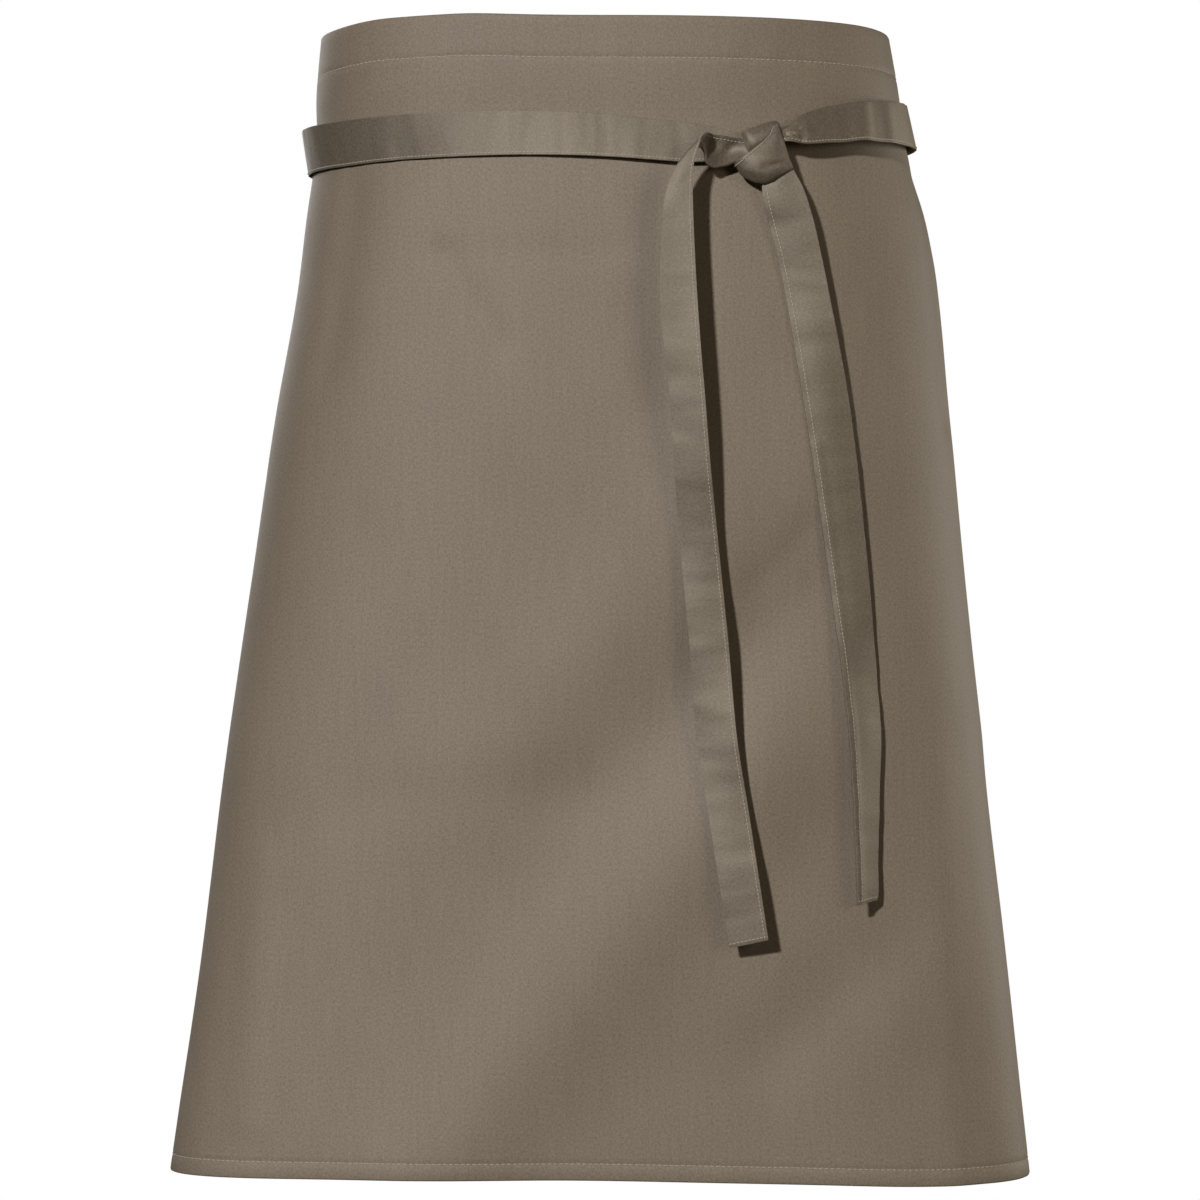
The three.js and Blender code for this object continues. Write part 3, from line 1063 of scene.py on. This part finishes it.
BELT_PLEATS = (
    Fold(5, 7.4, 15.5, 8.6, -2.3, 1.7),
    Fold(6, 4.3, 16.5, 2.7, -2, 1.6),
    Fold(9, 6, 24, 5, 1.7, 2.6),
    Fold(47, 2, 44, 20, -1.2, 8),
    Fold(62, 2, 66, 22, 1.7, 8),
    Fold(90, 3, 92, 22, 1.3, 7),
)
STRAND_CREASES = (
    Fold(26, 3, 19, 15, -1.6, 3),
    Fold(15, 3, 11, 14, 1.1, 3.2),
)
TAIL_SEAM = (
    Fold(170, 3.4, 445, 3.4, 0.7, 1.8),
)
WRAP_CREASES = (
    Fold(31, 26, 33, 20.5, -0.8, 1.7),
    Fold(33, 20.5, 41, 17.2, -1.2, 1.8),
    Fold(36, 24, 41, 20.5, 0.8, 2),
    Fold(36, 4, 44, 10, -0.7, 2.2),
)
TAIL_LEFT = (
    ((89.2, 84.2, 9), (89.3, 78.2, 9), (89.3, 72.3, 9)),
    ((80.9, 85.3, 10), (81.1, 78.1, 6), (82.8, 71.9, 9)),
    ((72.6, 88.0, 11), (72.8, 78.8, 5), (73.9, 70.6, 9.5)),
    ((65.5, 89.7, 13), (66.9, 78.5, 7), (68.0, 69.9, 10)),
    ((61.9, 87.1, 16), (63.3, 77.2, 11), (65.0, 69.3, 12)),
    ((61.0, 81.6, 19), (61.4, 75.4, 16), (63.4, 69.1, 16)),
    ((57.7, 78.5, 23), (59.8, 74.2, 21.5), (62.8, 69.6, 20)),
    ((51.2, 82.3, 25.5), (55.3, 77.0, 25.5), (60.9, 71.5, 24)),
    ((44.8, 90.1, 26.5), (50.6, 83.7, 27.5), (58.5, 76.0, 27)),
    ((40.7, 98.3, 26.5), (47.4, 92.6, 28), (55.5, 84.9, 28)),
    ((38.4, 105.8, 27), (45.9, 101.9, 28), (54.0, 93.8, 28)),
    ((36.6, 116.9, 27.8), (45.3, 114.7, 28), (54.0, 110.2, 27.6)),
    ((35.4, 136.2, 27.9), (45.3, 135.2, 28), (54.8, 133.6, 27.6)),
    ((34.8, 162.5, 27), (45.6, 162.6, 27.4), (56.3, 162.7, 27.4)),
    ((37.1, 194.5, 25.8), (47.6, 194.6, 26.8), (58.5, 194.7, 27.5)),
    ((40.7, 226.3, 23), (50.8, 226.4, 24.4), (61.2, 226.5, 25.4)),
    ((43.3, 266.9, 16.5), (53.7, 267.0, 18.7), (64.5, 267.0, 20.5)),
    ((46.6, 310.5, 9), (57.6, 310.5, 11), (69.0, 310.5, 12.5)),
    ((51.8, 365.8, 15), (62.9, 365.8, 17), (74.6, 365.8, 18.3)),
    ((56.5, 421.8, 10), (68.1, 421.7, 12), (79.7, 421.6, 13.5)),
    ((63.2, 467.7, 6.5), (74.8, 466.5, 8.2), (86.5, 465.4, 9.5)),
    ((69.8, 510.0, 12.5), (81.4, 508.3, 15), (92.8, 506.5, 17)),
    ((75.4, 545.1, 15), (86.7, 542.7, 17.5), (98.0, 540.3, 19)),
)
TAIL_RIGHT = (
    ((98.6, 87.7, 11), (105.7, 84.1, 13), (111.6, 81.6, 13.5)),
    ((95.1, 99.6, 10), (104.4, 96.1, 13.5), (113.3, 88.8, 15)),
    ((96.3, 110.5, 8.5), (106.8, 107.7, 12.6), (119.2, 100.5, 16)),
    ((99.3, 122.1, 6.5), (111.0, 120.4, 11.2), (124.6, 116.8, 15.8)),
    ((103.2, 136.7, 4.8), (115.8, 136.1, 9.6), (128.8, 134.3, 14.2)),
    ((109.4, 166.1, 3), (122.3, 165.6, 7.6), (135.2, 164.9, 12)),
    ((119.3, 225.0, 2.4), (132.3, 224.3, 5), (146.1, 223.5, 7)),
    ((128.1, 283.7, 3.6), (140.6, 283.1, 5.4), (153.5, 282.4, 6.8)),
    ((136.2, 342.5, 7.4), (147.6, 341.3, 7.2), (159.1, 340.7, 6.2)),
    ((142.3, 389.4, 13.5), (152.4, 388.9, 10), (162.9, 388.5, 5)),
    ((146.1, 427.2, 16.5), (155.1, 426.4, 11.8), (164.9, 426.1, 6)),
    ((148.8, 476.7, 17.5), (155.8, 476.1, 12.3), (163.6, 475.5, 6.5)),
    ((150.5, 521.0, 18), (156.4, 519.9, 13), (162.9, 518.9, 7.5)),
)
KNOT_WRAP = (
    ((104.0, 64.9, 12), (104.4, 63.8, 12), (105.0, 63.5, 12), (105.5, 64.2, 10)),
    ((102.5, 66.6, 16), (103.6, 63.4, 16), (104.6, 63.0, 16), (105.4, 65.3, 14)),
    ((97.6, 72.1, 18), (101.5, 70.3, 19.5), (104.7, 69.6, 19.5), (106.8, 70.2, 17)),
    ((90.7, 77.7, 18.5), (97.5, 77.7, 20.5), (103.9, 77.5, 20.5), (108.7, 76.6, 18)),
    ((83.8, 83.2, 17.5), (92.6, 85.2, 20), (102.4, 85.5, 20.5), (110.8, 83.5, 18)),
    ((79.5, 85.9, 14), (87.3, 91.7, 16.5), (99.5, 92.2, 18.5), (112.8, 88.5, 17)),
    ((79.0, 86.4, 9), (84.8, 94.5, 10), (97.7, 97.9, 13.5), (111.5, 89.9, 15)),
    ((81.3, 85.8, 4), (86.4, 92.9, 4.5), (97.5, 95.7, 7), (108.2, 89.6, 11)),
)
KNOT_LOBE = (
    ((83.4, 68.6, 8), (84.4, 72.6, 11), (85.6, 77.2, 12), (88.0, 81.0, 11)),
    ((84.9, 66.8, 11), (87.4, 71.0, 14.5), (90.3, 74.9, 15.5), (93.0, 77.2, 14)),
    ((91.0, 65.1, 11.5), (93.6, 68.5, 15), (96.5, 71.3, 16), (98.9, 72.9, 15)),
    ((97.7, 62.3, 11), (99.3, 65.3, 14.5), (100.9, 67.8, 15.5), (102.7, 68.9, 14)),
    ((102.7, 60.9, 10), (103.7, 62.7, 13), (104.4, 64.4, 14.5), (105.3, 66.2, 13)),
    ((104.3, 61.2, 5), (105.2, 62.6, 7), (105.8, 64.1, 8.5), (106.2, 65.4, 8)),
)


@dataclass
class Ties:
    """Both ties: their runs round the waist, the knot and the hanging tails.

    `cloth` is the tie where it lies free and `pulled` where the knot pulls it tight.
    """

    worn: WornCloth
    cloth: TieCloth = field(default_factory=TieCloth)
    pulled: TieCloth = field(default_factory=lambda: TieCloth(
        wall=1.0, step=1.2, crease=0.2, crease_length=9.0))
    stitches: Stitching = field(default_factory=lambda: Stitching(
        "tie_stitching", pitch=2.3, radius=0.24, share=0.12))
    seed_step: float = 7.0
    thread_lift: float = 0.08
    belt_inset: float = 1.5
    tail_inset: float = 1.9
    seam_inset: float = 3.2
    wrap_inset: float = 1.8
    end_inset: float = 2.4

    def dress(self) -> None:
        """Builds every run and puts it into the frame."""
        belt_left = self.cloth.from_belt(self.worn, BELT_LEFT)
        belt_right = self.cloth.from_belt(self.worn, BELT_RIGHT)
        self.cloth.press(belt_right, BELT_PLEATS)
        tail_left = self.cloth.from_net(self.worn, TAIL_LEFT)
        self.cloth.press(tail_left, STRAND_CREASES)
        tail_right = self.cloth.from_net(self.worn, TAIL_RIGHT)
        self.cloth.press(tail_right, TAIL_SEAM)
        wrap = self.pulled.from_net(self.worn, KNOT_WRAP)
        self.pulled.press(wrap, WRAP_CREASES)
        lobe = self.pulled.from_net(self.worn, KNOT_LOBE)
        runs = (
            (self.cloth, "tie_left_belt", belt_left, ("belt_left",)),
            (self.cloth, "tie_right_belt", belt_right, ("belt_right",)),
            (self.cloth, "tie_left_tail", tail_left, ("tail_left",)),
            (self.cloth, "tie_right_tail", tail_right, ("tail_right",)),
            (self.pulled, "knot_wrap", wrap, ("knot",)),
            (self.pulled, "knot_lobe", lobe, ()),
        )
        for number, (cloth, name, strip, nodes) in enumerate(runs):
            self.run(cloth, name, strip, nodes, 1.0 + self.seed_step * number)
        over = self.cloth.wall / 2 + self.thread_lift
        self.stitches.along_strip(belt_left, self.belt_inset, over)
        self.stitches.along_strip(belt_right, self.belt_inset, over)
        self.stitches.along_strip(tail_left, -self.tail_inset, over)
        self.stitches.along_strip(tail_left, -self.tail_inset, -over)
        self.stitches.across_strip(tail_left, self.end_inset, over)
        self.stitches.along_strip(tail_right, self.seam_inset, over)
        self.stitches.across_strip(tail_right, self.end_inset, over)
        self.stitches.along_strip(wrap, self.wrap_inset, over)
        self.stitches.dress()

    def run(self, cloth: TieCloth, name: str, strip: Strip, nodes: Sequence[str],
            seed: float) -> None:
        """Builds one run.

        Args:
            cloth: How the tie lies there.
            name: The piece's name.
            strip: Its run.
            nodes: Solids that it stands for.
            seed: Picks its creases.
        """
        cloth.crumple(strip, seed)
        piece = cloth.build(name, strip)
        dress(piece, nodes)
        width, length = strip.flat_size()
        log.info("%s: flat %.1f by %.1f mm", name, width, length)


@dataclass(frozen=True)
class Lamp:
    """A square lamp: the direction it shines from, how far off, its size and power."""

    name: str
    towards: tuple[float, float, float]
    distance: float
    size: float
    power: float
    color: Color = (1.0, 1.0, 1.0)

    def build(self, aim: Vector) -> None:
        """Hangs the lamp.

        Args:
            aim: The point that it shines on.
        """
        data = bpy.data.lights.new(self.name, "AREA")
        data.size = self.size
        data.energy = self.power
        data.color = self.color
        lamp = bpy.data.objects.new(self.name, data)
        away = Vector(self.towards).normalized()
        lamp.location = aim + away * self.distance
        lamp.rotation_mode = "QUATERNION"
        lamp.rotation_quaternion = away.to_track_quat("Z", "Y")
        bpy.context.scene.collection.objects.link(lamp)


LAMPS = (
    Lamp("key", (-0.337, -0.877, 0.342), 14.0, 0.8, 1600.0),
    Lamp("soft side", (0.565, -0.807, 0.174), 3.0, 1.0, 10.0, (1.0, 0.88, 0.68)),
    Lamp("rim", (0.88, 0.46, 0.06), 2.6, 1.2, 32.0, (1.0, 0.93, 0.82)),
    Lamp("back fill", (-0.40, 0.85, 0.35), 3.0, 1.8, 40.0),
)


@dataclass
class Studio:
    """A pale floor, soft lamps and the camera at the photograph's viewing angle.

    Lengths are in metres. The lamps aim at a point `aim_ahead` of the waist's centre.
    """

    camera_distance: float = 2.7
    camera_height: float = -0.3425
    focal_pixels: float = 4394.0
    image_pixels: float = 1200.0
    sensor: float = 36.0
    floor_height: float = -1.15
    floor_radius: float = 2.9
    floor_segments: int = 96
    floor_color: Color = (0.82, 0.82, 0.81)
    floor_roughness: float = 0.9
    floor_glow: float = 0.3
    fill: float = 0.02
    fill_color: Color = (1.0, 0.88, 0.70)
    white: Color = (1.0, 1.0, 1.0)
    aim_ahead: float = 0.1

    def build(self) -> None:
        """Makes the floor, world, lamps and camera."""
        self.make_floor()
        self.make_world()
        aim = Vector((0.0, -self.aim_ahead, self.camera_height))
        for lamp in LAMPS:
            lamp.build(aim)
        self.make_camera()
        bpy.context.scene.view_settings.view_transform = "Standard"

    def make_floor(self) -> None:
        """Lays the pale floor."""
        material = bpy.data.materials.new("pale_floor")
        material.use_nodes = True
        shader = material.node_tree.nodes["Principled BSDF"]
        shader.inputs["Base Color"].default_value = (*self.floor_color, 1.0)
        shader.inputs["Roughness"].default_value = self.floor_roughness
        shader.inputs["Emission Color"].default_value = (*self.white, 1.0)
        shader.inputs["Emission Strength"].default_value = self.floor_glow
        bm = bmesh.new()
        bmesh.ops.create_circle(bm, cap_ends=True, segments=self.floor_segments,
                                radius=self.floor_radius,
                                matrix=Matrix.Translation((0.0, 0.0, self.floor_height)))
        floor = new_object("floor", bm, material)
        floor.visible_diffuse = False
        floor.visible_glossy = False

    def make_world(self) -> None:
        """Surrounds the studio with dim light and a white backdrop."""
        world = bpy.data.worlds.new("studio")
        bpy.context.scene.world = world
        world.use_nodes = True
        tree = world.node_tree
        ambient = tree.nodes["Background"]
        ambient.inputs["Color"].default_value = (*self.fill_color, 1.0)
        ambient.inputs["Strength"].default_value = self.fill
        backdrop = tree.nodes.new("ShaderNodeBackground")
        backdrop.inputs["Color"].default_value = (*self.white, 1.0)
        rays = tree.nodes.new("ShaderNodeLightPath")
        mix = tree.nodes.new("ShaderNodeMixShader")
        link(tree, rays.outputs["Is Camera Ray"], mix.inputs["Fac"])
        link(tree, ambient.outputs["Background"], mix.inputs[1])
        link(tree, backdrop.outputs["Background"], mix.inputs[2])
        link(tree, mix.outputs["Shader"], tree.nodes["World Output"].inputs["Surface"])

    def make_camera(self) -> None:
        """Sets up the camera, level and straight in front."""
        data = bpy.data.cameras.new("camera")
        data.sensor_width = self.sensor
        data.lens = self.sensor * self.focal_pixels / self.image_pixels
        camera = bpy.data.objects.new("camera", data)
        camera.location = (0.0, -self.camera_distance, self.camera_height)
        camera.rotation_euler = (math.pi / 2, 0.0, 0.0)
        bpy.context.scene.collection.objects.link(camera)
        bpy.context.scene.camera = camera


def main() -> None:
    """Builds the apron and its studio in order."""
    logging.basicConfig(level=logging.INFO, format="%(name)s %(message)s")
    Studio().build()
    worn = WornCloth(SECTIONS, FOLDS, SAGS)
    ApronPanel(worn).dress()
    Ties(worn).dress()


if __name__ == "__main__":
    main()
